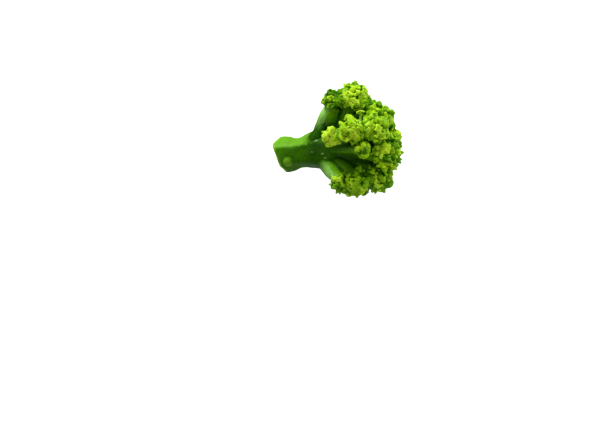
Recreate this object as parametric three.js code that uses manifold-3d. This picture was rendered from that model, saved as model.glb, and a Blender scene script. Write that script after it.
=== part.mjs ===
// A small head of broccoli, cut with a short stalk and laid on its side.
// It is modelled as it grows, stalk along +Z with the middle of its crown at the origin, and the whole
// group is then laid down: the crown rests on two of its florets and the stalk's end touches the surface.
// Millimetres, +Z up, origin on the surface under the middle of the part.
import * as THREE from "three";
import { mergeVertices } from "three/addons/utils/BufferGeometryUtils.js";
import Module from "manifold-3d";

const wasm = await Module();
wasm.setup();

// ---- driving dimensions ----
const DROOP = 22; // degrees that the stalk hangs below level
const CROWN_PLACE = [9.1, 0.1, 22.4]; // the crown's middle over the footprint's middle
const STALK_REACH = 41.5; // from the crown's middle to the end of the stalk
const STALK_RADIUS = 8.2; // at the neck
const CUT_TILT = 17; // degrees that the knife cut is off square
const FORK_BELOW = 14; // the branches part this far below the crown's middle
const GAP = 0.3; // between neighbouring pieces
const BUD_LENGTH = 5.2; // on the largest florets
const BUD_WIDTH = 4.3;
const BUD_SPACING = 4.85;
const BUD_LEAN = 0.6; // how far a bud may lean out of true
const BUD_HEAVE = 0.8; // how much one may stand out more than the next
const BUDS_REACH = 114; // degrees from a floret's axis that its buds cover
const BUD_CLEAR = 0.7; // a bud's middle keeps this far from the next floret

// Florets: angle from the stalk's line, roll round it from the side that faces up, distance of the
// floret's middle from the crown's middle, and radius over the buds. A branch may be stouter towards its
// floret than the others, and bow down towards the stalk.
const FLORETS = [
  { name: "floret_apex", polar: 12, roll: -170, reach: 14.2, radius: 9.8 },
  { name: "floret_upper_right", polar: 40, roll: 80, reach: 15.8, radius: 9.0 },
  { name: "floret_near_right", polar: 32, roll: -73, reach: 19.5, radius: 8.4 },
  { name: "floret_band_right", polar: 42, roll: 8, reach: 18.6, radius: 7.4 },
  { name: "floret_band_middle", polar: 76, roll: -1, reach: 19.6, radius: 6.8 },
  { name: "floret_band_left", polar: 104, roll: -6, reach: 19.5, radius: 5.4 },
  { name: "floret_ball", polar: 63, roll: -31, reach: 20.5, radius: 4.4 },
  { name: "floret_top", polar: 85, roll: 70, reach: 21.5, radius: 9.0 },
  { name: "floret_top_left", polar: 106, roll: 58, reach: 23.5, radius: 6.4, stout: 1.9, bow: 3 },
  { name: "floret_lower_right", polar: 60, roll: -101, reach: 20.0, radius: 9.0 },
  { name: "floret_lower", polar: 84, roll: -83, reach: 21.0, radius: 7.6 },
  { name: "floret_lower_left", polar: 106, roll: -80, reach: 22.0, radius: 5.4, stout: 1.8, bow: 4 },
  { name: "floret_under_front", polar: 50, roll: 170, reach: 16.5, radius: 9.4 },
  { name: "floret_under_near", polar: 76, roll: -129, reach: 19.5, radius: 6.6 },
  { name: "floret_foot_near", polar: 98, roll: -150, reach: 17.5, radius: 8.8 },
  { name: "floret_foot_far", polar: 98, roll: 140, reach: 18.5, radius: 9.4 },
  { name: "floret_near_back", polar: 102, roll: -106, reach: 20.0, radius: 7.0 },
  { name: "floret_far_side", polar: 68, roll: 112, reach: 17.8, radius: 9.0 },
  { name: "floret_far_back", polar: 102, roll: 98, reach: 20.5, radius: 7.2 },
  { name: "floret_inner", polar: 75, roll: 70, reach: 13.6, radius: 5.8 },
];

const STALK_GREEN = 0x4a8f1a;
const STALK_ROUGHNESS = 0.3;
const BUD_GREEN = 0x76a814;
const BUD_ROUGHNESS = 0.45;
const SEED = 101;

// ---- small tools ----
const UP = new THREE.Vector3(0, 0, 1);
const GOLDEN_ANGLE = Math.PI * (3 - Math.sqrt(5));
const HEXAGON = Math.sqrt(3) / 2; // room that one of a close-packed row of buds takes
const radians = THREE.MathUtils.degToRad;

// Park and Miller's generator, so that every build draws the same numbers.
function dice(seed) {
  let state = seed;
  return () => {
    state = (state * 16807) % 2147483647;
    return state / 2147483647;
  };
}

function solidOf(geometry) {
  const bare = geometry.clone();
  bare.deleteAttribute("normal");
  bare.deleteAttribute("uv");
  const merged = mergeVertices(bare, 1e-4);
  return new wasm.Manifold(
    new wasm.Mesh({
      numProp: 3,
      vertProperties: merged.attributes.position.array,
      triVerts: new Uint32Array(merged.index.array),
    }),
  );
}

// The largest body of a solid: loose scraps are dropped and sealed hollows filled.
function mainBody(solid) {
  const bodies = solid.decompose();
  return bodies.reduce((best, body) => (body.volume() > best.volume() ? body : best));
}

function meshOf(name, solid, colour, roughness) {
  const { numProp, numVert, vertProperties, triVerts } = solid.getMesh();
  const places = new Float32Array(numVert * 3);
  for (let i = 0; i < numVert; i += 1) {
    places.set(vertProperties.subarray(i * numProp, i * numProp + 3), i * 3);
  }
  const geometry = new THREE.BufferGeometry();
  geometry.setAttribute("position", new THREE.BufferAttribute(places, 3));
  geometry.setIndex(new THREE.BufferAttribute(new Uint32Array(triVerts), 1));
  geometry.computeVertexNormals();
  const material = new THREE.MeshStandardMaterial({ color: colour, roughness, metalness: 0 });
  const mesh = new THREE.Mesh(geometry, material);
  mesh.name = name;
  return mesh;
}

// A round limb whose radius changes along its line: a cylinder bent along a curve.
function limb(line, radiusAt, sides, steps) {
  const frames = line.computeFrenetFrames(steps);
  const shape = new THREE.CylinderGeometry(1, 1, 1, sides, steps);
  const place = shape.getAttribute("position");
  for (let i = 0; i < place.count; i += 1) {
    const along = place.getY(i) + 0.5;
    const step = Math.round(along * steps);
    const radius = radiusAt(along);
    const point = line
      .getPointAt(along)
      .addScaledVector(frames.binormals[step], place.getX(i) * radius)
      .addScaledVector(frames.normals[step], place.getZ(i) * radius);
    place.setXYZ(i, point.x, point.y, point.z);
  }
  return solidOf(shape);
}

// ---- where the florets stand: each faces away from the fork ----
const FORK = new THREE.Vector3(0, 0, -FORK_BELOW);

function standOf(floret) {
  const polar = radians(floret.polar);
  const roll = radians(floret.roll);
  const out = new THREE.Vector3(
    -Math.sin(polar) * Math.cos(roll),
    Math.sin(polar) * Math.sin(roll),
    Math.cos(polar),
  );
  const middle = out.multiplyScalar(floret.reach);
  const axis = middle.clone().sub(FORK).normalize();
  return { stout: 1, bow: 0, ...floret, axis, middle };
}
const stands = FLORETS.map(standOf);

// ---- the stalk and its branches ----
const STALK_LINE = [
  [0.9, -1.3, -STALK_REACH - 5],
  [0.5, -1.3, -STALK_REACH + 6],
  [0.1, -1.2, -STALK_REACH + 16],
  [0, 0, -FORK_BELOW + 7],
];
const STALK_SWELL = [1.14, 1.14, 1.14, 1.13, 1.06, 0.94, 0.94, 1.08, 1.25, 1.22, 0.8]; // end to top
const STALK_SIDES = 16;
const STALK_STEPS = 12;
const NICK_OUT = new THREE.Vector3(-0.43, 0.68, -0.59).normalize(); // the way that the nick faces
const NICK_REACH = 29.8; // how far the nick's flat is from the crown's middle
const CORE_PLACE = [2.5, 0, 2]; // the mass from which the branches part
const CORE_SIZE = [8, 10, 11];
const CORE_SIDES = 14;
const SCAR_PLACE = [-4.3, -6.9, -STALK_REACH + 7]; // where a side shoot was trimmed off
const SCAR_SIZE = [2.8, 2.8, 2.8];
const SCAR_SIDES = 8;
const FOLD_LINE = [
  [-3.3, -1.2, -20.7],
  [-7.1, 3.8, -16.2],
  [-10.1, 10.3, -11.9],
];
const FOLD_RADII = [5.0, 4.6, 3.2, 0.4]; // root to tip
const FOLD_SIDES = 8;
const FOLD_STEPS = 6;
const BRANCH_RADII = [2.0, 3.4, 4.0, 3.8, 3.8, 4.2]; // under the largest floret, root to tip
const BRANCH_END = 0.62; // the most that a branch's tip may have of its floret's radius
const BRANCH_SPARE = 6; // and how much more its root may have
const BRANCH_SIDES = 8;
const BRANCH_STEPS = 5;
const ROOT_BELOW = 6.5; // a branch's root lies this far below the fork
const RISE = 0.35; // share of its length that an upright branch keeps to the stalk's line
const LEAST_RISE = 0.3; // the share of that for a branch that spreads sideways
const STRAIGHT = 0.4; // share of its length that it keeps to its floret's line

function between(values, along) {
  const place = along * (values.length - 1);
  const low = Math.min(Math.floor(place), values.length - 2);
  return THREE.MathUtils.lerp(values[low], values[low + 1], place - low);
}

function trunk(grow) {
  const line = new THREE.CatmullRomCurve3(STALK_LINE.map((p) => new THREE.Vector3(...p)));
  const radiusAt = (along) => STALK_RADIUS * between(STALK_SWELL, along) + grow;
  const solid = limb(line, radiusAt, STALK_SIDES, STALK_STEPS);
  const tilt = radians(CUT_TILT);
  return solid
    .trimByPlane([0, Math.sin(tilt), Math.cos(tilt)], -STALK_REACH * Math.cos(tilt))
    .trimByPlane(NICK_OUT.clone().negate().toArray(), -NICK_REACH);
}

// A smooth lump, given by its half widths.
function lump(place, size, sides, grow) {
  const shape = new THREE.SphereGeometry(1, sides, Math.round(0.7 * sides));
  shape.scale(size[0] + grow, size[1] + grow, size[2] + grow);
  shape.translate(...place);
  return solidOf(shape);
}

// The pointed base of a small leaf, grown up along the branches.
function fold(grow) {
  const line = new THREE.CatmullRomCurve3(FOLD_LINE.map((p) => new THREE.Vector3(...p)));
  return limb(line, (along) => between(FOLD_RADII, along) + grow, FOLD_SIDES, FOLD_STEPS);
}

// A branch springs from inside the stalk on its floret's side, and ends in the floret, in line with it.
function branch(stand, grow) {
  const scale = 0.3 + stand.radius / 13;
  const side = stand.axis.clone().setZ(0);
  const rim = 0.92 * STALK_RADIUS - scale * BRANCH_RADII[1];
  const root = side.clone().setLength(rim * Math.min(1, 1.3 * side.length()));
  root.setZ(-FORK_BELOW - ROOT_BELOW);
  const tip = stand.middle.clone().addScaledVector(stand.axis, -0.45 * stand.radius);
  const length = tip.distanceTo(root);
  const upright = Math.max(LEAST_RISE, stand.middle.z / stand.middle.length());
  const rise = root.clone().addScaledVector(UP, RISE * upright * length);
  const bend = tip.clone().addScaledVector(stand.axis, -STRAIGHT * length);
  bend.addScaledVector(UP, -stand.bow);
  const line = new THREE.CubicBezierCurve3(root, rise, bend, tip);
  const radiusAt = (along) => {
    const stout = 1 + (stand.stout - 1) * along;
    const most = BRANCH_END * stand.radius + BRANCH_SPARE * (1 - along);
    return Math.min(scale * stout * between(BRANCH_RADII, along), most) + grow;
  };
  return limb(line, radiusAt, BRANCH_SIDES, BRANCH_STEPS);
}

function stalk(grow) {
  return wasm.Manifold.union([
    trunk(grow),
    lump(CORE_PLACE, CORE_SIZE, CORE_SIDES, grow),
    lump(SCAR_PLACE, SCAR_SIZE, SCAR_SIDES, grow),
    fold(grow),
    ...stands.map((stand) => branch(stand, grow)),
  ]);
}

// ---- a floret: a dome with buds standing out of it ----
const DOME_SIDES = 8;
const DOME = [
  // across and along its axis, as shares of the radius over the buds
  [0, -0.6],
  [0.46, -0.56],
  [0.66, -0.15],
  [0.65, 0.25],
  [0.42, 0.54],
  [0, 0.65],
];

function dome(stand) {
  const outline = DOME.map(([across, up]) => new THREE.Vector2(across, up).multiplyScalar(stand.radius));
  const shape = new THREE.LatheGeometry(outline, DOME_SIDES);
  shape.rotateX(Math.PI / 2);
  shape.applyQuaternion(new THREE.Quaternion().setFromUnitVectors(UP, stand.axis));
  shape.translate(...stand.middle);
  return solidOf(shape);
}

// Buds stand on a golden-angle spiral from the floret's tip to its rim. Small florets have smaller buds.
function budPlaces(stand, seed) {
  const roll = dice(seed);
  const scale = Math.min(1, 0.4 + stand.radius / 15);
  const shell = stand.radius - 0.45 * BUD_LENGTH * scale;
  const share = (1 - Math.cos(radians(BUDS_REACH))) / 2;
  const room = HEXAGON * (BUD_SPACING * scale) ** 2;
  const count = Math.round((4 * Math.PI * shell ** 2 * share) / room);
  const turn = new THREE.Quaternion().setFromUnitVectors(UP, stand.axis);
  const places = [];
  for (let i = 0; i < count; i += 1) {
    const height = 1 - (2 * share * (i + 0.5)) / count;
    const across = Math.sqrt(1 - height ** 2);
    const angle = i * GOLDEN_ANGLE;
    const out = new THREE.Vector3(across * Math.cos(angle), across * Math.sin(angle), height);
    out.applyQuaternion(turn);
    const lean = new THREE.Vector3(roll() - 0.5, roll() - 0.5, roll() - 0.5).multiplyScalar(BUD_LEAN);
    places.push({
      middle: stand.middle.clone().addScaledVector(out, shell + BUD_HEAVE * (roll() - 0.5)),
      line: out.clone().add(lean).normalize(),
      size: scale * (0.85 + 0.3 * roll()),
    });
  }
  return places;
}

function bud({ middle, line, size }) {
  const shape = new THREE.IcosahedronGeometry(1, 0);
  shape.scale((size * BUD_WIDTH) / 2, (size * BUD_WIDTH) / 2, (size * BUD_LENGTH) / 2);
  shape.applyQuaternion(new THREE.Quaternion().setFromUnitVectors(UP, line));
  shape.translate(...middle);
  return solidOf(shape);
}

// The planes between a floret and its neighbours, which keep them apart.
function fences(stand) {
  const near = stands.filter((other) => {
    const apart = other.middle.distanceTo(stand.middle);
    return other !== stand && apart < stand.radius + other.radius + BUD_LENGTH / 2;
  });
  return near.map((other) => {
    const inward = stand.middle.clone().sub(other.middle);
    const apart = inward.length();
    const share = (apart ** 2 + stand.radius ** 2 - other.radius ** 2) / (2 * apart);
    inward.normalize();
    return { inward, offset: inward.dot(stand.middle) - share + GAP / 2 };
  });
}

function floret(stand, seed, stalkRoom) {
  const walls = fences(stand);
  const isClear = ({ middle }) => {
    return walls.every(({ inward, offset }) => inward.dot(middle) - offset > BUD_CLEAR);
  };
  const buds = budPlaces(stand, seed).filter(isClear).map(bud);
  let solid = wasm.Manifold.union([dome(stand), ...buds]);
  for (const { inward, offset } of walls) {
    solid = solid.trimByPlane(inward.toArray(), offset);
  }
  return mainBody(solid.subtract(stalkRoom));
}

// ---- laying it down ----
const laying = new THREE.Quaternion().setFromAxisAngle(new THREE.Vector3(0, 1, 0), radians(90 - DROOP));
const surface = UP.clone().applyQuaternion(laying.clone().invert());

// What would sink into the surface is pressed flat.
function pressed(solid) {
  return mainBody(solid.trimByPlane(surface.toArray(), -CROWN_PLACE[2]));
}

const broccoli = new THREE.Group();
broccoli.quaternion.copy(laying);
broccoli.position.set(...CROWN_PLACE);
broccoli.add(meshOf("stalk", pressed(stalk(0)), STALK_GREEN, STALK_ROUGHNESS));
const stalkRoom = stalk(GAP);
stands.forEach((stand, i) => {
  broccoli.add(meshOf(stand.name, pressed(floret(stand, SEED + i, stalkRoom)), BUD_GREEN, BUD_ROUGHNESS));
});

export default broccoli;
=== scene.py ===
from math import atan2, cos, degrees, exp, hypot, inf, pi, radians, sin, sqrt, tau
from types import SimpleNamespace

import bpy
from mathutils import Matrix, Vector, noise


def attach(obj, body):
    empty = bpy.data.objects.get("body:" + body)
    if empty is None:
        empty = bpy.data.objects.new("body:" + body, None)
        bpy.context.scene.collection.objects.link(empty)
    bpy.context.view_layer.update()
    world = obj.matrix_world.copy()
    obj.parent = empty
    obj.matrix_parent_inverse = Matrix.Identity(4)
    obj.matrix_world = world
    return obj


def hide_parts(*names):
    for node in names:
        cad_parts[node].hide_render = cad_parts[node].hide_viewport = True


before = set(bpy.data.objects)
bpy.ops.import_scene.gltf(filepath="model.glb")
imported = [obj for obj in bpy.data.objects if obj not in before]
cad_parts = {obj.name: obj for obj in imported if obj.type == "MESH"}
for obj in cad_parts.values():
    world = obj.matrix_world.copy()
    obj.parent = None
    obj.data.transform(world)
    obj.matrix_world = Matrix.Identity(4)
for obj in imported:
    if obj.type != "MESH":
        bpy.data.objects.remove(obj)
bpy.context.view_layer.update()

# ---- driving dimensions, in millimetres and degrees ----
DROOP = 22  # how steeply the stalk falls to its cut end
CROWN_PLACE = Vector((9.1, 0.1, 22.4))  # the crown's middle, as the head lies
STALK_REACH = 41.5  # from the crown's middle to the cut end
STALK_RADIUS = 8.2
CUT_TILT = 17
FORK_BELOW = 14  # from the crown's middle to where the branches part
GAP = 0.3  # from one floret to the next
BUD_LENGTH = 5.2  # of a clump of buds, base to top
BUD_SPACING = 4.85  # from clump to clump
BUD_LEAN = 0.6  # how unevenly clumps lean
BUD_HEAVE = 0.8  # how unevenly they stand out
BUDS_REACH = 114  # how far round from a floret's tip
BUD_CLEAR = 0.7  # from the middle of a clump to the next floret's side
SCALE_FROM = 0.4  # a floret's clumps have this scale and a share of its radius, up to 1
SCALE_RADIUS = 15
SEED = 101
MM = 0.001

# Florets: angle from the stalk's line, roll round it from the side that faces up, distance of the floret's
# middle from the crown's, radius over the buds, style of its clumps and how yellow it is. Where they differ
# from 1 and 0: how much stouter its branch grows and how far it bows down.
FLORETS = [
    ("apex", 12, -170, 14.2, 9.8, "toothed", 0.54),
    ("upper_right", 40, 80, 15.8, 9.0, "toothed", 0.56),
    ("near_right", 32, -73, 19.5, 8.4, "toothed", 0.52),
    ("band_right", 42, 8, 18.6, 7.4, "kernels", 0.75),
    ("band_middle", 76, -1, 19.6, 6.8, "kernels", 0.85),
    ("band_left", 104, -6, 19.5, 5.4, "kernels", 0.92),
    ("ball", 63, -31, 20.5, 4.4, "kernels", 0.6),
    ("top", 85, 70, 21.5, 9.0, "crests", 0.62),
    ("top_left", 106, 58, 23.5, 6.4, "dots", 0.45, 1.9, 3.0),
    ("lower_right", 60, -101, 20.0, 9.0, "toothed", 0.44),
    ("lower", 84, -83, 21.0, 7.6, "crests", 0.38),
    ("lower_left", 106, -80, 22.0, 5.4, "crests", 0.52, 1.8, 4.0),
    ("under_front", 50, 170, 16.5, 9.4, "toothed", 0.5),
    ("under_near", 76, -129, 19.5, 6.6, "kernels", 0.45),
    ("foot_near", 98, -150, 17.5, 8.8, "toothed", 0.45),
    ("foot_far", 98, 140, 18.5, 9.4, "kernels", 0.45),
    ("near_back", 102, -106, 20.0, 7.0, "kernels", 0.5),
    ("far_side", 68, 112, 17.8, 9.0, "toothed", 0.5),
    ("far_back", 102, 98, 20.5, 7.2, "dots", 0.5),
    ("inner", 75, 70, 13.6, 5.8, "dots", 0.3),
]

UP = Vector((0, 0, 1))
TOP_SIDE = Vector((-0.896, -0.259, 0.362))  # faces up, and a little forward, as the head lies
GOLDEN_ANGLE = pi * (3 - sqrt(5))
HEXAGON = sqrt(3) / 2  # each point's area in an even pattern, at a spacing of 1
LAID_OVER = radians(90 - DROOP)
LAYING = Matrix.Scale(MM, 4) @ Matrix.Translation(CROWN_PLACE) @ Matrix.Rotation(LAID_OVER, 4, "Y")


# ---- numbers and lines ----
DICE_FACTOR = 16807
DICE_PRIME = 2147483647


def dice(seed):
    """Park and Miller's numbers from 0 to 1, the same on each run."""
    state = seed
    while True:
        state = (state * DICE_FACTOR) % DICE_PRIME
        yield state / DICE_PRIME


def at_least(least, extra, roll):
    """A random value up to this much over the least one."""
    return least + extra * next(roll)


def either_way(spread, roll):
    """A random value within half the spread of 0."""
    return spread * (next(roll) - 0.5)


def any_turn(roll):
    return tau * next(roll)


def any_lean(amount, roll):
    return Vector([next(roll) - 0.5 for _ in range(3)]) * amount


def direction(height, angle):
    """The one at a height from -1 to 1 and an angle round it."""
    across = sqrt(1 - height**2)
    return Vector((across * cos(angle), across * sin(angle), height))


def clamped(value):
    return max(0.0, min(1.0, value))


def ramp(value, start, end):
    """0 at one value to 1 at the other, evenly between."""
    return clamped((value - start) / (end - start))


def between(values, along):
    """The value at a share of the way along a row of them."""
    place = along * (len(values) - 1)
    low = min(int(place), len(values) - 2)
    share = place - low
    return values[low] * (1 - share) + values[low + 1] * share


def catmull_rom(points, along):
    """The point at a share of the way along a smooth line through all the points."""
    place = along * (len(points) - 1)
    low = min(int(place), len(points) - 2)
    t = place - low
    p1 = Vector(points[low])
    p2 = Vector(points[low + 1])
    p0 = Vector(points[low - 1]) if low > 0 else p1 * 2 - p2
    p3 = Vector(points[low + 2]) if low + 2 < len(points) else p2 * 2 - p1
    return (
        p1
        + (p2 - p0) * (0.5 * t)
        + (p0 * 2 - p1 * 5 + p2 * 4 - p3) * (0.5 * t * t)
        + (p1 * 3 - p0 - p2 * 3 + p3) * (0.5 * t * t * t)
    )


def heading(points, along, step):
    """That line's direction, over a step to both sides."""
    ahead = catmull_rom(points, min(1, along + step))
    return (ahead - catmull_rom(points, max(0, along - step))).normalized()


def bezier(a, b, c, d, t):
    """The point at a share of the way from a to d, leaving towards b and arriving from c."""
    s = 1 - t
    return a * s**3 + b * (3 * s * s * t) + c * (3 * s * t * t) + d * t**3


# ---- pieces and their marks ----
def select_only(*pieces):
    """Only these pieces are selected, and the first one is active."""
    bpy.ops.object.select_all(action="DESELECT")
    for piece in pieces:
        piece.select_set(True)
    bpy.context.view_layer.objects.active = pieces[0]


SHAPES = {
    "plane": bpy.ops.mesh.primitive_plane_add,
    "cube": bpy.ops.mesh.primitive_cube_add,
    "cone": bpy.ops.mesh.primitive_cone_add,
    "cylinder": bpy.ops.mesh.primitive_cylinder_add,
    "uv_sphere": bpy.ops.mesh.primitive_uv_sphere_add,
    "ico_sphere": bpy.ops.mesh.primitive_ico_sphere_add,
}


def shape(kind, **settings):
    SHAPES[kind](**settings)
    return bpy.context.object


def primitive(kind, name, **settings):
    """A new shape, with its place, turn and size in its mesh."""
    bpy.ops.object.select_all(action="DESELECT")
    piece = shape(kind, **settings)
    piece.name = name
    bpy.ops.object.transform_apply(location=True, rotation=True, scale=True)
    return piece


def linked(name, data):
    piece = bpy.data.objects.new(name, data)
    bpy.context.collection.objects.link(piece)
    return piece


def edit(on):
    bpy.ops.object.mode_set(mode="EDIT" if on else "OBJECT")


def joined(pieces, name):
    select_only(*pieces)
    bpy.ops.object.join()
    whole = bpy.context.view_layer.objects.active
    whole.name = name
    whole.data.name = name
    return whole


def apply_modifier(piece, kind, **settings):
    select_only(piece)
    modifier = piece.modifiers.new(kind.lower(), kind)
    for key, value in settings.items():
        setattr(modifier, key, value)
    bpy.ops.object.modifier_apply(modifier=modifier.name)


def remesh(piece, fineness):
    """Everything in a piece becomes one closed skin."""
    apply_modifier(piece, "REMESH", mode="VOXEL", voxel_size=fineness, use_smooth_shade=True)


def soften(piece, rounds):
    apply_modifier(piece, "SMOOTH", factor=0.5, iterations=rounds)


def mark(piece, **marks):
    """Named numbers: one for every vertex, or one for all of them."""
    for name, values in marks.items():
        layer = piece.data.attributes.get(name) or piece.data.attributes.new(name, "FLOAT", "POINT")
        count = len(piece.data.vertices)
        layer.data.foreach_set("value", [values] * count if isinstance(values, float) else values)


def finished(piece, **marks):
    """The selected piece, shaded smooth and with its marks."""
    bpy.ops.object.shade_smooth()
    mark(piece, **marks)
    return piece


def copy_of(pattern, place, **marks):
    piece = linked(pattern.name, pattern.data.copy())
    piece.data.transform(place)
    mark(piece, **marks)
    return piece


def set_upright(foot, line, size, turn):
    """The matrix that stands a pattern on a foot, along a line."""
    upright = UP.rotation_difference(line).to_matrix().to_4x4()
    return Matrix.Translation(foot) @ upright @ Matrix.Rotation(turn, 4, "Z") @ Matrix.Diagonal((*size, 1))


def set_between(low, high, width, turn):
    """The matrix that stretches a pattern of unit size from one point to another."""
    line = high - low
    return set_upright(low, line.normalized(), (width, width, line.length), turn)


NOISE_STEP = (0.7, 0.3, 0.1)


def roughen(piece, fineness, depth, start):
    """Every point moves in or out by a smooth noise, another for each start."""
    shift = Vector([step * start for step in NOISE_STEP])
    normals = [vertex.normal.copy() for vertex in piece.data.vertices]
    for vertex, normal in zip(piece.data.vertices, normals):
        vertex.co += normal * (depth * noise.noise(vertex.co * fineness + shift))


# The relief found here drives a painted highlight on ridges and painted shade in hollows, on buds and stalk.
def ridges(piece, rounds, height):
    """For every point, 0 in a hollow to 1 on a ridge, against the same surface smoothed."""
    mesh = piece.data
    near = [[] for _ in mesh.vertices]
    for edge in mesh.edges:
        one, other = edge.vertices
        near[one].append(other)
        near[other].append(one)
    even = [vertex.co.copy() for vertex in mesh.vertices]
    for _ in range(rounds):
        even = [sum((even[i] for i in others), Vector()) / max(1, len(others)) for others in near]
    return [
        clamped(0.5 + 0.5 * (vertex.co - smooth).dot(vertex.normal) / height)
        for vertex, smooth in zip(mesh.vertices, even)
    ]


# ---- where the florets stand ----
def stand_of(name, polar, roll, reach, radius, style, yellow, stout=1.0, bow=0.0):
    """A floret's place, size and kind. It faces away from the fork."""
    polar = radians(polar)
    roll = radians(roll)
    across = sin(polar)
    middle = Vector((-across * cos(roll), across * sin(roll), cos(polar))) * reach
    axis = (middle + UP * FORK_BELOW).normalized()
    scale = min(1, SCALE_FROM + radius / SCALE_RADIUS)
    return SimpleNamespace(
        name=name, radius=radius, style=style, yellow=yellow, stout=stout, bow=bow, scale=scale,
        middle=middle, axis=axis, turn=UP.rotation_difference(axis),
    )


stands = [stand_of(*row) for row in FLORETS]


def fences(stand):
    """The planes between a floret and its neighbours, as (inward normal, offset)."""
    found = []
    for other in stands:
        inward = stand.middle - other.middle
        apart = inward.length
        if other is stand or apart >= stand.radius + other.radius + BUD_LENGTH / 2:
            continue
        share = (apart**2 + stand.radius**2 - other.radius**2) / (2 * apart)
        inward.normalize()
        found.append((inward, inward.dot(stand.middle) - share + GAP / 2))
    return found


def clearance(point, walls):
    """How far a point lies inside the nearest of the fences."""
    return min((inward.dot(point) - offset for inward, offset in walls), default=inf)


# ---- patterns, each modelled once: base at the origin, reaching up ----
PATTERN_TOP = 5.2
CLUMP_NOISES = [(0.5, 0.5), (1.5, 0.18)]  # how fine, and how deep on the most uneven clump
RIDGE_ROUNDS = 5
RIDGE_HEIGHT = 0.35
RIDGE_MIDDLE = 0.66
RIDGE_GAIN = 1.3


def ball(place, size):
    return shape("uv_sphere", segments=14, ring_count=9, radius=1, location=place, scale=size)


def block(place, size, turn):
    return shape("cube", size=1, location=place, rotation=turn, scale=size)


def wedge(place, turn, foot, tip, length, sides=5, flat=1.0):
    size = {"radius1": foot, "radius2": tip, "depth": length, "scale": (1, flat, 1)}
    return shape("cone", vertices=sides, location=place, rotation=turn, **size)


def facing(out, spin):
    """The turn that takes straight up to a direction, after a spin."""
    turned = UP.rotation_difference(out) @ Matrix.Rotation(spin, 3, "Z").to_quaternion()
    return turned.to_euler()


def fan(count, spread, roll):
    """Directions round a dome: one near its top and the others round it."""
    start = any_turn(roll)
    for i in range(count):
        height = 1 - (1 - cos(radians(spread))) * i / (count - 1)
        yield direction(height, start + i * GOLDEN_ANGLE + either_way(0.5, roll))


def grown_together(pieces, name, seed, faces, uneven, softened=3, fineness=0.2):
    """Lumps fused into one soft, uneven body, with its height and ridges marked."""
    piece = joined(pieces, name)
    bpy.ops.object.transform_apply(location=True, rotation=True, scale=True)
    remesh(piece, fineness)
    soften(piece, softened)
    for noise_fineness, depth in CLUMP_NOISES:
        roughen(piece, noise_fineness, depth * uneven, seed)
    soften(piece, 1)
    count = len(piece.data.polygons) * 2
    apply_modifier(piece, "DECIMATE", ratio=min(1.0, faces / count))
    heights = [clamped(vertex.co.z / PATTERN_TOP) for vertex in piece.data.vertices]
    relief = ridges(piece, RIDGE_ROUNDS, RIDGE_HEIGHT)
    return finished(
        piece, tip=heights, ridge=[0.5 + RIDGE_GAIN * (value - RIDGE_MIDDLE) for value in relief]
    )


def kernels(seed, roll):
    """Blunt, squarish buds as big as a grain of rice, swollen together at their feet."""
    yield ball((0, 0, 1.8), (1.6, 1.6, 1.9))
    for i, out in enumerate(fan(3 + seed % 2, 74, roll)):
        place = Vector((0, 0, 1.9)) + out * at_least(1.5, 0.5, roll)
        lean = Vector((next(roll) - 0.5, next(roll) - 0.5, 0)) * 0.9
        line = (out + lean).normalized()
        turn = facing(line, any_turn(roll))
        if i % 2:
            size = (at_least(3.4, 0.9, roll), at_least(2.5, 0.6, roll), at_least(2.7, 0.8, roll))
            yield block(place, size, turn)
        else:
            foot = at_least(1.6, 0.3, roll)
            yield wedge(place, turn, foot, foot + 0.3, at_least(3.0, 0.6, roll), sides=6)
        yield ball(place + line * 0.5, (1.6, 1.6, 1.6))


def teeth(seed, roll):
    """Pointed, leafy buds bristling from a knob."""
    yield ball((0, 0, 2.0), (1.8, 1.8, 2.0))
    for out in fan(5 + seed % 2, 82, roll):
        length = at_least(2.2, 1.2, roll)
        place = Vector((0, 0, 1.8)) + out * (0.9 + 0.5 * length)
        turn = facing(out, any_turn(roll))
        yield wedge(place, turn, at_least(1.7, 0.4, roll), 0.65, length, flat=0.65)


def crest(seed, roll):
    """A winding row of buds grown into one, with another bud beside it."""
    yield ball((0, 0, 2.0), (1.8, 1.5, 2.0))
    bend = at_least(1.1, 0.9, roll)
    count = 6
    length = 7.4
    top = 4.0
    for i in range(count):
        along = i / (count - 1) - 0.5
        place = Vector((length * along, bend * sin(5 * along), top - 4.6 * along**2))
        place.z += either_way(0.6, roll)
        stout = 1.25 - 0.9 * abs(along)
        turn = (either_way(0.7, roll), 0.9 * along, 3.0 * next(roll))
        size = (at_least(2.1, 0.5, roll) * stout, at_least(1.6, 0.4, roll) * stout, 1.7 * stout)
        yield block(place, size, turn)
    place = (either_way(1.2, roll), at_least(2.0, 0.4, roll), 2.8)
    yield block(place, (1.9, 1.7, 1.8), (next(roll), next(roll), 3.0 * next(roll)))


def dots(seed, roll):
    """A tight knob of small round buds."""
    yield ball((0, 0, 2.2), (1.7, 1.7, 2.0))
    for out in fan(10, 98, roll):
        size = at_least(0.85, 0.2, roll)
        yield ball(Vector((0, 0, 2.3)) + out * at_least(1.75, 0.3, roll), (size, size, size))


def clumps(lumps, name, first, count, **growing):
    """The patterns of one kind of clump, each from a seed of its own."""
    return [
        grown_together(list(lumps(seed, dice(seed))), f"{name}_{seed - first}", seed, **growing)
        for seed in range(first, first + count)
    ]


def drawn_in(piece, low, high, share):
    """In edit mode, the points between two heights get this share of their width."""
    bpy.ops.mesh.select_mode(type="VERT")
    bpy.ops.mesh.select_all(action="DESELECT")
    edit(False)
    for vertex in piece.data.vertices:
        vertex.select = low <= vertex.co.z <= high
    edit(True)
    bpy.ops.transform.resize(value=(share, share, 1))


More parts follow.
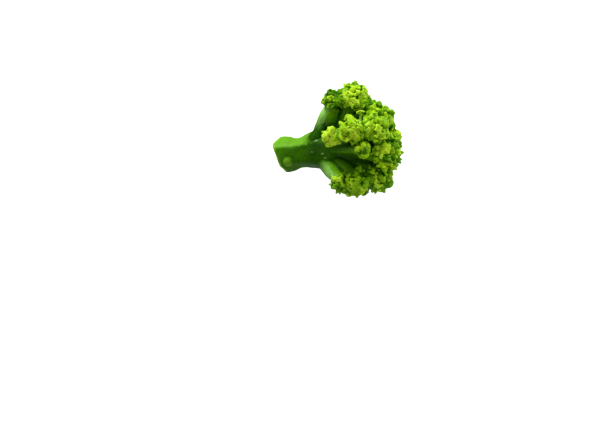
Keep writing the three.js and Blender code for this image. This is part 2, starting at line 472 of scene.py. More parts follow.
def bud_pattern(name, turn):
    """A closed bud of few faces, of unit size and drawn in at its foot."""
    lie = {"location": (0, 0, 0.5), "rotation": turn}
    piece = primitive("uv_sphere", name, segments=6, ring_count=5, radius=0.5, **lie)
    edit(True)
    drawn_in(piece, -0.1, 0.35, 0.8)
    edit(False)
    return finished(piece, tip=[clamped(vertex.co.z) for vertex in piece.data.vertices], ridge=0.5)


def twig_pattern(name, bow):
    """A short stem, thicker at its foot and bowed to one side."""
    piece = primitive("cylinder", name, vertices=7, radius=0.5, depth=1, location=(0, 0, 0.5))
    edit(True)
    for height in (0.33, 0.66):
        bpy.ops.mesh.select_all(action="SELECT")
        bpy.ops.mesh.bisect(plane_co=(0, 0, height), plane_no=UP)
    drawn_in(piece, -0.01, 0.01, 1.4)
    drawn_in(piece, 0.2, 0.8, 0.8)
    bpy.ops.transform.translate(value=(bow, 0, 0))
    edit(False)
    return finished(piece, tip=0.0, ridge=0.5)


KERNELS = clumps(kernels, "kernels", 11, 4, faces=700, uneven=0.5, softened=8)
TOOTHED = clumps(teeth, "toothed", 31, 4, faces=700, uneven=0.8, fineness=0.19)
CRESTS = clumps(crest, "crest", 51, 4, faces=800, uneven=0.35, softened=7)
DOTS = clumps(dots, "dots", 71, 3, faces=700, uneven=0.7, fineness=0.19)
# For each style, the clumps on the head's upper side, and those round its edge.
CLUMPS = {
    "kernels": (KERNELS + CRESTS[:1], KERNELS + TOOTHED[:1]),
    "toothed": (TOOTHED + KERNELS[:2], TOOTHED + KERNELS[2:3]),
    "crests": (CRESTS, TOOTHED + CRESTS[:1]),
    "dots": (DOTS, DOTS),
}
EDGE = 0.5  # clumps that turn further away than this are round the edge
small_buds = [bud_pattern("bud_plain", (0, 0, 0)), bud_pattern("bud_turned", (0.6, 0.3, 0))]
twig = twig_pattern("twig", 0.12)
patterns = [*KERNELS, *TOOTHED, *CRESTS, *DOTS, *small_buds, twig]


# ---- florets ----
SHELL_BELOW = 0.45  # from the top of the clumps to their middles, as a share of their length
FILL_BELOW = 0.78  # the same, to the floor of small buds
FILL_SPACING = 2.3
FILL_REACH = BUDS_REACH + 8
FILL_START = 1.3
FILL_SUNK = 0.7
FILL_LEAN = 0.9
FILL_CLEAR = 0.2
FILL_LIFTED = 0.5  # from the surface to a small bud's tip, at least
TWIG_WIDTH = 1.7
TWIG_FROM = 0.2  # where a twig starts, on the way to its clump
ROOT_BACK = 0.25  # from a floret's middle to where its twigs part, as a share of its radius


def spiral(stand, spacing, shell, reach, start):
    """Outward directions on a golden-angle spiral from the floret's tip to its rim."""
    share = (1 - cos(radians(reach))) / 2
    count = round(4 * pi * shell**2 * share / (HEXAGON * spacing**2))
    for i in range(count):
        height = 1 - 2 * share * (i + 0.5) / count
        yield stand.turn @ direction(height, i * GOLDEN_ANGLE + start)


def grow_floret(stand, seed):
    name = f"floret_{stand.name}_buds"
    walls = fences(stand)
    roll = dice(seed * 7 + 3)
    pieces = [*clumps_on_twigs(stand, seed, walls, roll), *fill(stand, walls, roll)]
    for i, (start, end, tone, *line) in enumerate(ROWS.get(stand.name, [])):
        sunk = [Vector(point) - (Vector(point) - stand.middle).normalized() * ROW_SUNK for point in line]
        pieces.append(row_of_buds(sunk, start, end, tone, seed + i))
    pieces.append(heart(stand, walls))
    floret = joined(pieces, name)
    mark(floret, deep=shade_depths(floret, stand, walls))
    sprigs = [part for row in SPRIGS.get(stand.name, []) for part in sprig(*row, stand.yellow)]
    return joined([floret, *sprigs], name)


def clumps_on_twigs(stand, seed, walls, roll):
    """The clumps of buds, placed as in the solids, each on its twig."""
    places = dice(seed)
    shell = stand.radius - SHELL_BELOW * BUD_LENGTH * stand.scale
    root = stand.middle - stand.axis * (ROOT_BACK * stand.radius)
    top_kinds, edge_kinds = CLUMPS[stand.style]
    for out in spiral(stand, BUD_SPACING * stand.scale, shell, BUDS_REACH, 0):
        lean = any_lean(BUD_LEAN, places)
        middle = stand.middle + out * (shell + either_way(BUD_HEAVE, places))
        size = stand.scale * at_least(0.85, 0.3, places)
        if clearance(middle, walls) <= BUD_CLEAR:
            continue
        line = (out + lean).normalized()
        tone = clamped(stand.yellow + either_way(0.6, roll))
        width = size * at_least(0.84, 0.32, roll)
        height = size * at_least(0.9, 0.2, roll)
        foot = middle - line * (0.5 * PATTERN_TOP * size * at_least(0.9, 0.3, roll))
        kinds = top_kinds if line.dot(TOP_SIDE) > EDGE else edge_kinds
        kind = kinds[int(len(kinds) * next(roll))]
        place = set_upright(foot, line, (width, width, height), any_turn(roll))
        yield copy_of(kind, place, tone=tone, stem=0.0)
        foot = root.lerp(middle, TWIG_FROM)
        place = set_between(foot, middle, TWIG_WIDTH * size, any_turn(roll))
        yield copy_of(twig, place, tone=tone, stem=1.0)


def fill(stand, walls, roll):
    """Smaller buds on the floor between the clumps."""
    shell = stand.radius - FILL_BELOW * BUD_LENGTH * stand.scale
    for out in spiral(stand, FILL_SPACING * stand.scale, shell, FILL_REACH, FILL_START):
        foot = stand.middle + out * (shell - FILL_SUNK)
        lean = any_lean(FILL_LEAN, roll)
        tip = foot + (out + lean).normalized() * at_least(2.4, 0.8, roll) * stand.scale
        width = at_least(1.7, 0.4, roll) * stand.scale
        tone = min(1.0, 0.5 * stand.yellow * (0.5 + next(roll)))
        kind = small_buds[int(2 * next(roll))]
        if clearance(tip, walls) > FILL_CLEAR and (LAYING @ tip).z > FILL_LIFTED * MM:
            place = set_between(foot, tip, width, any_turn(roll))
            yield copy_of(kind, place, tone=tone, stem=0.0)


# Single buds that grew out on long pale stems: foot and head.
SPRIGS = {
    "band_middle": [((-10.7, 3.5, 6.9), (-11.2, 11.2, 7.1)), ((-14.6, 3.6, 2.6), (-14.4, 8.6, 1.6))],
    "band_right": [((-8.6, 4.4, 12.1), (-9.4, 10.6, 12.0)), ((-6.8, 4.6, 15.8), (-6.4, 9.6, 17.2))],
}
SPRIG_WIDTH = 1.9
SPRIG_HEAD = (0.72, 0.52, 0.42)  # the scale of its clump
SPRIG_SUNK = 0.9
SPRIG_SHADE = 0.1


def sprig(foot, head, tone):
    foot = Vector(foot)
    head = Vector(head)
    line = (head - foot).normalized()
    place = set_between(foot, head, SPRIG_WIDTH, foot.z)
    stem = copy_of(twig, place, tone=1.0, stem=1.0, deep=SPRIG_SHADE)
    place = set_upright(head - line * SPRIG_SUNK, line, SPRIG_HEAD, foot.x)
    return [stem, copy_of(KERNELS[0], place, tone=tone, stem=0.0, deep=SPRIG_SHADE)]


# Buds grown together into winding rows over a floret: half width at both ends, how yellow it is, its line.
ROWS = {
    "top": [
        (1.9, 1.0, 1.0, (-12.6, 16.9, -4.4), (-15.5, 18.3, -1.4), (-16.5, 21.0, 1.9), (-15.8, 19.4, 4.7),
        (-14.8, 21.4, 6.7), (-12.5, 21.4, 8.9), (-10.8, 19.9, 10.0)),
        (1.2, 0.6, 1.0, (-15.7, 16.4, 0.8), (-15.0, 15.0, 3.2), (-14.0, 15.2, 5.9), (-13.6, 17.4, 7.8),
        (-11.0, 19.4, 9.9)),
        (1.1, 0.9, 0.7, (-11.0, 15.2, 8.5), (-11.5, 17.4, 9.4), (-7.5, 16.0, 10.0)),
    ],
    "band_left": [
        (1.4, 1.8, 1.0, (-20.8, -4.7, -8.7), (-24.0, -2.8, -6.0), (-23.9, -1.3, -3.9)),
        (1.3, 1.4, 0.95, (-21.3, -6.6, -5.4), (-23.5, -4.2, -3.3), (-22.5, -2.9, -0.9), (-19.5, -4.3, -0.1)),
    ],
    "band_middle": [
        (1.4, 1.3, 1.0, (-21.2, -1.2, -1.5), (-24.8, -1.4, 2.2), (-25.2, -0.4, 5.2), (-24.8, -2.2, 6.3),
        (-24.2, 1.6, 8.1)),
        (1.3, 1.3, 0.9, (-22.4, -4.4, 0.7), (-20.8, -6.4, 2.6), (-23.5, -5.1, 5.6), (-22.8, -4.9, 7.9),
        (-18.8, -5.5, 9.1)),
        (1.3, 1.1, 0.95, (-23.9, -2.8, 8.6), (-22.8, -0.5, 10.3), (-20.1, -1.5, 11.2)),
    ],
    "band_right": [
        (1.3, 1.2, 0.9, (-16.9, -3.1, 10.5), (-19.2, -0.8, 12.8), (-19.6, 1.6, 12.8), (-19.3, 3.5, 15.5)),
        (1.6, 0.8, 0.9, (-19.2, 0.7, 16.4), (-17.4, -1.0, 18.5), (-16.6, -3.1, 17.4), (-13.7, -5.5, 14.8)),
    ],
    "lower_left": [
        (1.5, 0.9, 1.0, (-5.7, -20.1, -10.8), (-8.8, -20.4, -7.6), (-8.8, -21.6, -4.7), (-7.6, -23.6, -3.6),
        (-4.3, -25.8, -4.1)),
    ],
    "lower": [
        (0.9, 1.0, 0.95, (-10.1, -21.5, 3.0), (-9.8, -22.3, 0.9), (-9.0, -24.5, 0.6), (-7.5, -26.6, 2.0),
        (-8.5, -25.3, 3.9)),
        (0.8, 0.7, 1.0, (-7.8, -25.3, 5.2), (-5.9, -26.9, 5.1)),
        (0.8, 1.3, 0.9, (-2.3, -24.1, 8.9), (-3.4, -26.5, 7.0), (-3.6, -27.7, 4.6)),
        (1.0, 0.9, 0.7, (-7.8, -16.5, 5.8), (-8.2, -16.1, 4.2)),
    ],
    "lower_right": [
        (0.8, 1.2, 0.9, (-4.8, -16.5, 13.8), (-4.9, -19.9, 12.4), (-3.5, -22.7, 11.6), (-1.0, -24.7, 11.5),
        (3.6, -25.8, 12.0)),
        (0.8, 0.7, 0.8, (-5.4, -16.8, 7.6), (-5.6, -18.2, 10.0), (-5.6, -16.8, 11.5)),
    ],
    "near_right": [
        (0.9, 1.2, 0.95, (-10.1, -12.9, 13.3), (-11.2, -10.3, 14.5), (-11.0, -7.4, 15.4)),
        (1.5, 1.1, 0.9, (-11.1, -12.1, 17.0), (-11.2, -9.2, 18.2), (-10.1, -7.4, 20.4), (-8.7, -8.2, 22.6)),
        (1.0, 0.9, 0.7, (-9.0, -15.8, 15.5), (-8.7, -16.1, 16.9)),
        (1.2, 1.0, 0.8, (-4.8, -9.8, 24.7), (-2.0, -6.4, 24.1)),
    ],
    "upper_right": [
        (0.9, 0.9, 0.8, (-8.0, 12.6, 18.2), (-6.6, 9.1, 19.7), (-4.8, 6.0, 19.6), (-5.0, 3.6, 17.6)),
        (0.9, 0.8, 0.8, (-10.0, 13.5, 12.5), (-10.5, 10.5, 14.4), (-10.5, 8.1, 13.1)),
    ],
    "apex": [
        (0.9, 0.9, 0.8, (-1.8, 4.7, 20.7), (-4.5, 0.3, 20.4), (-3.1, -2.5, 21.5)),
    ],
}
ROW_FACES = 90  # for each millimetre of a row
ROW_SUNK = 1.1
ROW_SPACING = 0.78  # from bud to bud, as a share of the row's width
ROW_BUD = (1.9, 1.4, 2.0)  # a bud's size, for each millimetre of the row's half width
ROW_KNOB = (0.9, 0.35, 1.7)  # the same for a knob: its foot, its tip and its length


def row_of_buds(line, start, end, tone, seed):
    """A winding row of squarish buds with knobs at its sides, fused into one uneven ridge."""
    roll = dice(seed)
    length = sum((ahead - point).length for point, ahead in zip(line, line[1:]))
    count = max(3, round(length / (ROW_SPACING * (start + end))))
    pieces = []
    for i in range(count):
        along = i / (count - 1)
        ahead = heading(line, along, 0.03)
        half = (start * (1 - along) + end * along) * at_least(0.72, 0.56, roll)
        size = [share * half for share in ROW_BUD]
        aside = Matrix.Rotation(any_turn(roll), 3, ahead) @ ahead.orthogonal().normalized()
        place = catmull_rom(line, along) + aside * (0.3 * half)
        turn = facing((ahead + aside * 0.5).normalized(), any_turn(roll))
        pieces.append(block(place, size, turn))
        point = (aside + ahead * (next(roll) - 0.5)).normalized()
        place += point * (1.1 * half)
        knob = [share * half for share in ROW_KNOB]
        pieces.append(wedge(place, facing(point, any_turn(roll)), *knob, flat=0.7))
    body = grown_together(pieces, "row", seed, faces=ROW_FACES * length, uneven=0.3, softened=7)
    mark(body, tip=1.0, tone=tone, stem=0.0)
    return body


# Painted shade deep in a floret, against the next one and under it.
DEPTH_STARTS = 0.4  # below the tops of the clumps
DEPTH_FULL = 2.8
SIDE_DEPTH = 1.4
UNDER_SHADE = 0.45


def shade_depths(piece, stand, walls):
    """For every point, from 0 to 1, how much painted shade it gets: how deep it lies in its floret, against
    the next one or on its underside.
    """
    values = []
    for vertex in piece.data.vertices:
        out = vertex.co - stand.middle
        sunk = (stand.radius - DEPTH_STARTS - out.length) / DEPTH_FULL
        hidden = 1 - clearance(vertex.co, walls) / SIDE_DEPTH
        under = UNDER_SHADE * (0.1 - out.normalized().dot(stand.axis))
        values.append(clamped(max(sunk, hidden, under)))
    return values


HEART_RADIUS = 0.64  # as a share of the floret's
HEART_SWELL = 0.12
HEART_NOISE = 3.1
HEART_CLEAR = 0.2
HEART_LEAST = 0.3


def heart(stand, walls):
    """The heart of a floret, where its twigs have grown together, dark with painted shade."""
    piece = primitive("ico_sphere", "heart", subdivisions=3, radius=1)
    radius = HEART_RADIUS * stand.radius
    for vertex in piece.data.vertices:
        out = vertex.co.normalized()
        swell = 1 + HEART_SWELL * noise.noise(out * HEART_NOISE + stand.middle)
        point = stand.middle + out * radius * swell
        short = clearance(point, walls)
        if short < HEART_CLEAR:
            share = max(HEART_LEAST, 1 + (short - HEART_CLEAR) / radius)
            point = stand.middle + (point - stand.middle) * share
        vertex.co = point
    return finished(piece, tip=0.0, ridge=0.5, tone=0.0, stem=0.5)


# ---- the stalk and its branches ----
STALK_LINE = [
    (0.9, -1.3, -STALK_REACH - 5),
    (0.5, -1.3, -STALK_REACH + 6),
    (0.1, -1.2, -STALK_REACH + 16),
    (0, 0, -FORK_BELOW + 7),
]
STALK_SWELL = [1.14, 1.14, 1.14, 1.13, 1.06, 0.94, 0.94, 1.08, 1.25, 1.22, 0.8]
STALK_STEPS = 28
FLATS = 6  # the stalk is faintly six-sided
FLATS_FROM = radians(24)
FLATS_DEPTH = 0.13
FLATS_EVEN = 0.6  # where between flat and ridge the radius stays
NICK_OUT = Vector((-0.43, 0.68, -0.59)).normalized()
NICK_PLACE = NICK_OUT * 29.8
CUT_OUT = Vector((0, -sin(radians(CUT_TILT)), -cos(radians(CUT_TILT))))
CUT_PLACE = Vector((0, 0, -STALK_REACH))
SCAR_PLACE = Vector((-4.3, -6.9, -STALK_REACH + 7))
SCAR_SIZE = (2.8, 2.8, 2.8)
FOLD_LINE = [(-3.3, -1.2, -20.7), (-7.1, 3.8, -16.2), (-10.1, 10.3, -11.9)]
FOLD_RADII = [5.0, 4.6, 3.2, 0.4]
FOLD_STEPS = 10
FOLD_FINENESS = 0.22
RIM_RADIUS = 0.45
RIM_STEPS = 14
BRANCH_RADII = [2.0, 3.4, 4.0, 3.8, 3.8, 4.2]
BRANCH_STEPS = 14
BRANCH_END = 0.62  # its greatest radius at its floret, as a share of the floret's
BRANCH_SPARE = 6
BRANCH_SUNK = 0.45  # how deep it ends in the floret, as a share of that radius
ROOT_BELOW = 6.5
ROOT_INSIDE = 0.92  # the branches start within this share of the stalk's radius
RISE = 0.35
LEAST_RISE = 0.3
STRAIGHT = 0.4
FINENESS = 0.4
GROWN_OVER = 0.6


def limb(name, points, radii, sides):
    """A round limb along a line, closed at both ends."""
    line = bpy.data.curves.new(name, "CURVE")
    line.dimensions = "3D"
    line.bevel_depth = 1.0
    line.bevel_resolution = sides // 4
    line.use_fill_caps = True
    spline = line.splines.new("POLY")
    spline.points.add(len(points) - 1)
    for knot, point, radius in zip(spline.points, points, radii):
        knot.co = (*point, 1)
        knot.radius = radius
    select_only(linked(name, line))
    bpy.ops.object.convert(target="MESH")
    return bpy.context.object


def evenly(steps, first=0):
    """Shares of the way along, in even steps."""
    return [i / steps for i in range(first, steps + 1)]


def trunk():
    points = [catmull_rom(STALK_LINE, along) for along in evenly(STALK_STEPS)]
    radii = [STALK_RADIUS * between(STALK_SWELL, along) for along in evenly(STALK_STEPS)]
    piece = limb("trunk", points, radii, 48)
    flatten_sides(piece)
    edit(True)
    for place, out in ((CUT_PLACE, CUT_OUT), (NICK_PLACE, NICK_OUT)):
        bpy.ops.mesh.select_all(action="SELECT")
        bpy.ops.mesh.bisect(plane_co=place, plane_no=out, use_fill=True, clear_outer=True)
    edit(False)
    return piece


def flatten_sides(piece):
    """The round trunk is drawn in at the middles of its flats and out between them."""
    middle = Vector(STALK_LINE[1])
    half = pi / FLATS
    for vertex in piece.data.vertices:
        across = Vector((vertex.co.x - middle.x, vertex.co.y - middle.y))
        angle = atan2(across.y, across.x) - FLATS_FROM
        off = (angle + half) % (2 * half) - half
        share = (cos(half) / cos(off) - cos(half)) / (1 - cos(half))
        scale = 1 + FLATS_DEPTH * (share - FLATS_EVEN)
        vertex.co.x = middle.x + across.x * scale
        vertex.co.y = middle.y + across.y * scale


def core():
    """The mass from which the branches part, deep in the crown."""
    size = {"location": (2.5, 0, 2), "scale": (8, 10, 11)}
    return primitive("uv_sphere", "core", segments=24, ring_count=16, **size)


def scar():
    """The healed stump of a trimmed side shoot."""
    return primitive("uv_sphere", "scar", segments=20, ring_count=12, location=SCAR_PLACE, scale=SCAR_SIZE)


def fold():
    """The pointed base of a small leaf, grown up along the branches."""
    points = [catmull_rom(FOLD_LINE, along) for along in evenly(FOLD_STEPS)]
    radii = [between(FOLD_RADII, along) for along in evenly(FOLD_STEPS)]
    return limb("fold", points, radii, 16)


def fold_rim():
    """The thin raised edge of the leaf's base, on the side towards the stalk's end."""
    points = []
    for along in evenly(RIM_STEPS, 1):
        side = heading(FOLD_LINE, along, 0.05).cross(TOP_SIDE).normalized()
        if side.z > 0:
            side.negate()
        out = (side + TOP_SIDE * 0.3).normalized()
        points.append(catmull_rom(FOLD_LINE, along) + out * between(FOLD_RADII, along))
    radii = [RIM_RADIUS * (1.2 - 0.4 * i / RIM_STEPS) for i in range(1, RIM_STEPS + 1)]
    return limb("fold_rim", points, radii, 8)


def branch(stand):
    scale = 0.3 + stand.radius / 13
    side = Vector((stand.axis.x, stand.axis.y, 0))
    rim = ROOT_INSIDE * STALK_RADIUS - scale * BRANCH_RADII[1]
    root = side.normalized() * rim * min(1, 1.3 * side.length)
    root.z = -FORK_BELOW - ROOT_BELOW
    tip = stand.middle - stand.axis * (BRANCH_SUNK * stand.radius)
    length = (tip - root).length
    rise = root + UP * (RISE * length * max(LEAST_RISE, stand.middle.z / stand.middle.length))
    bend = tip - stand.axis * (STRAIGHT * length) - UP * stand.bow
    points = [bezier(root, rise, bend, tip, along) for along in evenly(BRANCH_STEPS)]
    radii = []
    for along in evenly(BRANCH_STEPS):
        radius = scale * (1 + (stand.stout - 1) * along) * between(BRANCH_RADII, along)
        radii.append(min(radius, BRANCH_END * stand.radius + BRANCH_SPARE * (1 - along)))
    return limb("branch", points, radii, 16)


def grow_stalk():
    parts = [trunk(), core(), scar(), *[branch(stand) for stand in stands]]
    stalk = joined(parts, "stalk_and_branches")
    remesh(stalk, FINENESS)
    # The creases between branches are grown over: swollen, joined again and drawn back in.
    apply_modifier(stalk, "DISPLACE", strength=GROWN_OVER, mid_level=0.0)
    remesh(stalk, FINENESS)
    soften(stalk, 4)
    apply_modifier(stalk, "DISPLACE", strength=-GROWN_OVER, mid_level=0.0)
    leaf = joined([fold(), fold_rim()], "fold_and_rim")
    remesh(leaf, FOLD_FINENESS)
    soften(leaf, 8)
    stalk = joined([stalk, leaf], "stalk_and_branches")
    soften(stalk, 3)
    ring_the_scar(stalk)
    mark(stalk, ridge=ridges(stalk, 9, 0.25))
    roughen(stalk, 0.16, 0.5, 3)
    roughen(stalk, 0.5, 0.08, 7)
    shares = {name: [share(vertex) for vertex in stalk.data.vertices] for name, share in SHARES.items()}
    mark(stalk, **shares, wet=0.0)
    return joined([stalk, *wet_beads(stalk)], "stalk_and_branches")


# The groove round the scar: how deep and wide it is, and its half width and half height.
GROOVE_DEPTH = 0.3
GROOVE_WIDTH = 0.2
GROOVE_HALVES = (2.6, 2.8)


def ring_the_scar(stalk):
    """A groove round the scar, deepest on its side towards the stalk's end."""
    out = Vector((SCAR_PLACE.x, SCAR_PLACE.y, 0)).normalized()
    half_width, half_height = GROOVE_HALVES
    for vertex in stalk.data.vertices:
        aside = vertex.co - SCAR_PLACE
        if aside.length > 5 or aside.dot(out) < -2.5:
            continue
        around = Vector((aside.dot(out.cross(UP)) / half_width, aside.z / half_height))
        groove = exp(-(((around.length - 1.0) / GROOVE_WIDTH) ** 2))
        vertex.co -= out * (GROOVE_DEPTH * groove * max(0.0, 0.5 - 0.7 * around.normalized().y))


# Low beads of water that cling to the skin: place and radius.
BEADS = [
    ((-8.0, -0.2, -26.4), 0.9), ((-5.8, 4.3, -25.2), 0.5), ((-9.1, -0.5, -22.7), 0.6),
    ((-8.2, -4.8, -19.9), 0.5), ((-7.5, -6.2, -14.8), 0.7), ((-6.3, -8.1, -13.7), 0.6),
    ((-8.5, 6.7, -11.2), 0.7), ((-6.0, -13.9, -8.0), 0.8), ((-4.8, -12.5, -7.4), 0.6),
    ((-8.3, 10.3, -6.4), 0.8), ((-4.8, 4.8, -33.2), 0.45),
]
BEAD_SHAPE = (1.15, 0.55, 0.22)


def wet_beads(stalk):
    for place, radius in BEADS:
        _, seat, out, _ = stalk.closest_point_on_mesh(Vector(place))
        size = [share * radius for share in BEAD_SHAPE]
        lie = {"location": seat, "rotation": facing(out, radius), "scale": size}
        bead = primitive("uv_sphere", "bead", segments=16, ring_count=10, **lie)
        yield finished(bead, **dict.fromkeys(SHARES, 0.0), ridge=0.6, wet=1.0)


# ---- shares of the stalk's skin, from 0 to 1, which colour it ----
CUT_FADE = 1.6  # how far behind the rim of the cut its colour ends
NICK_FADE = 1.2
NICK_TOP = -24
PITH_DEEP = 0.4
PITH_ALONG = 0.12
SCAR_REACH = 3.0
LEAF_FADE = 0.5
# Painted light: the flat that faces the key light is painted paler.
LIT_FLAT_FROM = (80, 110)  # the angles at which the paler flat begins and is full
LIT_FLAT_TO = (177, 171)
LIT_FLAT_HEIGHTS = (-20, -25)
ASIDE = (6, 9)
# How the painted shade at the fork runs, and how much of it is left inside the crown.
INSIDE = 0.3  # the share that is left inside the crown
INSIDE_TOP = -17
INSIDE_DEEP = 5
INSIDE_ASIDE = 10
FORK_HEIGHTS = (-37, -20)
OUTWARD_HEIGHTS = (-16, -12)
# Where the painted light on the branch flanks falls.
LIT_FLANK_TURN = 0.12
LIT_FLANK_HEIGHTS = (-5, -9)


def behind_cut(point):
    return (CUT_PLACE - point).dot(CUT_OUT)


def cut_share(vertex):
    """1 on the cut face and in the nick, falling off behind their rims."""
    nick = (NICK_PLACE - vertex.co).dot(NICK_OUT)
    in_nick = ramp(nick, NICK_FADE, 0) if vertex.co.z < NICK_TOP else 0.0
    return max(ramp(behind_cut(vertex.co), CUT_FADE, 0), in_nick)


def pith_share(vertex):
    """On the cut face, from 0 at its rim to 1 in its middle."""
    middle = catmull_rom(STALK_LINE, PITH_ALONG)
    across = hypot(vertex.co.x - middle.x, vertex.co.y - middle.y) / (STALK_RADIUS * STALK_SWELL[0])
    return max(0.0, 1 - behind_cut(vertex.co) / PITH_DEEP) * max(0.0, 1 - across)


def scar_share(vertex):
    return max(0.0, 1 - ((vertex.co - SCAR_PLACE).length / SCAR_REACH) ** 4)


def leaf_share(vertex):
    """1 on the leaf's base and its raised edge."""
    off = min(
        (vertex.co - catmull_rom(FOLD_LINE, along)).length - between(FOLD_RADII, along)
        for along in evenly(FOLD_STEPS, 2)
    )
    return ramp(off, LEAF_FADE, 0)


def lit_flat_share(vertex):
    """1 on the flat of the stalk that faces the key light, painted paler as painted light."""
    middle_x, middle_y, _ = STALK_LINE[1]
    angle = degrees(atan2(vertex.co.y - middle_y, vertex.co.x - middle_x))
    return ramp(angle, *LIT_FLAT_FROM) * ramp(angle, *LIT_FLAT_TO) * ramp(vertex.co.z, *LIT_FLAT_HEIGHTS)


def aside_share(vertex):
    """0 on the stalk and the middle branches to 1 on the branches that lean out to the sides."""
    return ramp(abs(vertex.co.y), *ASIDE)


def high_share(vertex):
    """0 on the stalk to 1 where the outer branches meet their florets."""
    nearest = min((vertex.co - stand.middle).length - stand.radius for stand in stands)
    return aside_share(vertex) * clamped(1.2 - nearest / 9)


def lit_flank_share(vertex):
    """Painted light: 1 on the flanks of the outer branches that face back to the stalk's end, towards the
    key light.
    """
    back = clamped(-vertex.normal.z / LIT_FLANK_TURN)
    return back * ramp(vertex.co.z, *LIT_FLANK_HEIGHTS) * high_share(vertex)


def inner_shade_share(vertex):
    """Painted shade: up to 1 where the stalk forks under the crown, but not on the outer branches; less
    inside the crown.
    """
    inside = clamped((vertex.co.z - INSIDE_TOP - INSIDE_ASIDE * aside_share(vertex)) / INSIDE_DEEP)
    outward = aside_share(vertex) * ramp(vertex.co.z, *OUTWARD_HEIGHTS)
    fork = ramp(vertex.co.z, *FORK_HEIGHTS) * (1 - max(outward, high_share(vertex)))
    return max(INSIDE * inside, fork * (1 - (1 - INSIDE) * inside))


SHARES = {
    "cut": cut_share, "scar": scar_share, "leaf": leaf_share, "high": high_share,
    "lit_flank": lit_flank_share, "pith": pith_share, "pale": lit_flat_share, "inner": inner_shade_share,
}


# ---- finishes, with colours as linear red, green and blue ----
class Finish:
    """A material's nodes, added one by one."""

    def __init__(self, name, skin):
        self.material = bpy.data.materials.new(name)
        self.material.use_nodes = True
        self.tree = self.material.node_tree
        self.shader = self.tree.nodes["Principled BSDF"]
        for socket, value in skin.items():
            self.put(socket, value)

    def feed(self, socket, value):
        """Puts a number, a colour or a node's output into a socket."""
        if isinstance(value, bpy.types.NodeSocket):
            self.tree.links.new(value, socket)
        elif socket.type == "RGBA":
            socket.default_value = (*value, 1)
        else:
            socket.default_value = value

    def put(self, socket, value):
        self.feed(self.shader.inputs[socket], value)

    def node(self, kind, output, inputs=None, **settings):
        """A new node, as the output that is asked for."""
        made = self.tree.nodes.new("ShaderNode" + kind)
        for key, value in settings.items():
            setattr(made, key, value)
        for key, value in (inputs or {}).items():
            self.feed(made.inputs[key], value)
        return made.outputs[output]

    def attribute(self, name):
        return self.node("Attribute", "Fac", attribute_name=name)

    def ramp(self, source, stops):
        """A run of colours: each stop is a value of the source and a colour."""
        output = self.node("ValToRGB", "Color", {"Fac": source})
        elements = output.node.color_ramp.elements
        for end, (value, colour) in ((0, stops[0]), (1, stops[-1])):
            elements[end].position = value
            elements[end].color = (*colour, 1)
        for value, colour in stops[1:-1]:
            elements.new(value).color = (*colour, 1)
        return output

    def noise(self, scale, detail, stretch=(1, 1, 1), turn=(0, 0, 0)):
        inputs = {"Vector": self.node("TexCoord", "Object"), "Rotation": turn, "Scale": stretch}
        place = self.node("Mapping", "Vector", inputs)
        return self.node("TexNoise", "Fac", {"Vector": place, "Scale": scale, "Detail": detail})

    def grains(self, scale):
        inputs = {"Vector": self.node("TexCoord", "Object"), "Scale": scale, "Smoothness": 0.4}
        return self.math("SUBTRACT", 1.0, self.node("TexVoronoi", "Distance", inputs, feature="SMOOTH_F1"))

    def mix(self, share, one, other, blend="MIX"):
        return self.node("Mix", 2, {0: share, 6: one, 7: other}, data_type="RGBA", blend_type=blend)

    def tinted(self, colour, tint):
        return self.mix(1.0, colour, tint, "MULTIPLY")

    def math(self, kind, one, other):
        return self.node("Math", 0, {0: one, 1: other}, operation=kind)

    def step(self, source, low, high):
        """0 at one value of the source to 1 at the other, eased between."""
        inputs = {"Value": source, "From Min": low, "From Max": high}
        return self.node("MapRange", "Result", inputs, interpolation_type="SMOOTHSTEP")

    def layer(self, under, name, reach, over):
        """A colour over another: by so much of a mark, or eased in between two values of it."""
        source = self.attribute(name)
        eased = isinstance(reach, tuple)
        share = self.step(source, *reach) if eased else self.math("MULTIPLY", source, reach)
        return self.mix(share, under, over)

    def bump(self, height, strength, distance):
        inputs = {"Height": height, "Strength": strength, "Distance": distance}
        self.put("Normal", self.node("Bump", "Normal", inputs))


BUD_SKIN = {
    "Roughness": 0.55, "Specular IOR Level": 0.12, "Specular Tint": (0.7, 0.9, 0.15),
    "Coat Weight": 0.05, "Coat Roughness": 0.12, "Subsurface Weight": 0.35,
    "Subsurface Radius": (0.6, 1.0, 0.08), "Subsurface Scale": 0.0012,
}
BUD_GREENS = [
    (0.0, (0.035, 0.15, 0.001)), (0.3, (0.103, 0.29, 0.002)), (0.55, (0.204, 0.408, 0.003)),
    (0.8, (0.31, 0.54, 0.006)), (1.0, (0.385, 0.625, 0.02)),
]
# Painted shade at the foot of each clump, darker and greener than its tip.
BUD_FOOT_SHADE = (0.55, 0.66, 0.4)
# Tints for a painted highlight on the ridges of the buds and painted shade in their creases.
BUD_RIDGE_HIGHLIGHT = (1.25, 1.18, 1.8)
BUD_CREASE_SHADE = (0.32, 0.42, 0.25)
# Painted shade deep in the florets, between them and under them.
BUD_DEEP_SHADE = (0.056, 0.225, 0.001)
TWIG_GREEN = (0.07, 0.22, 0.008)
TWIG_PALE = (0.3, 0.52, 0.06)


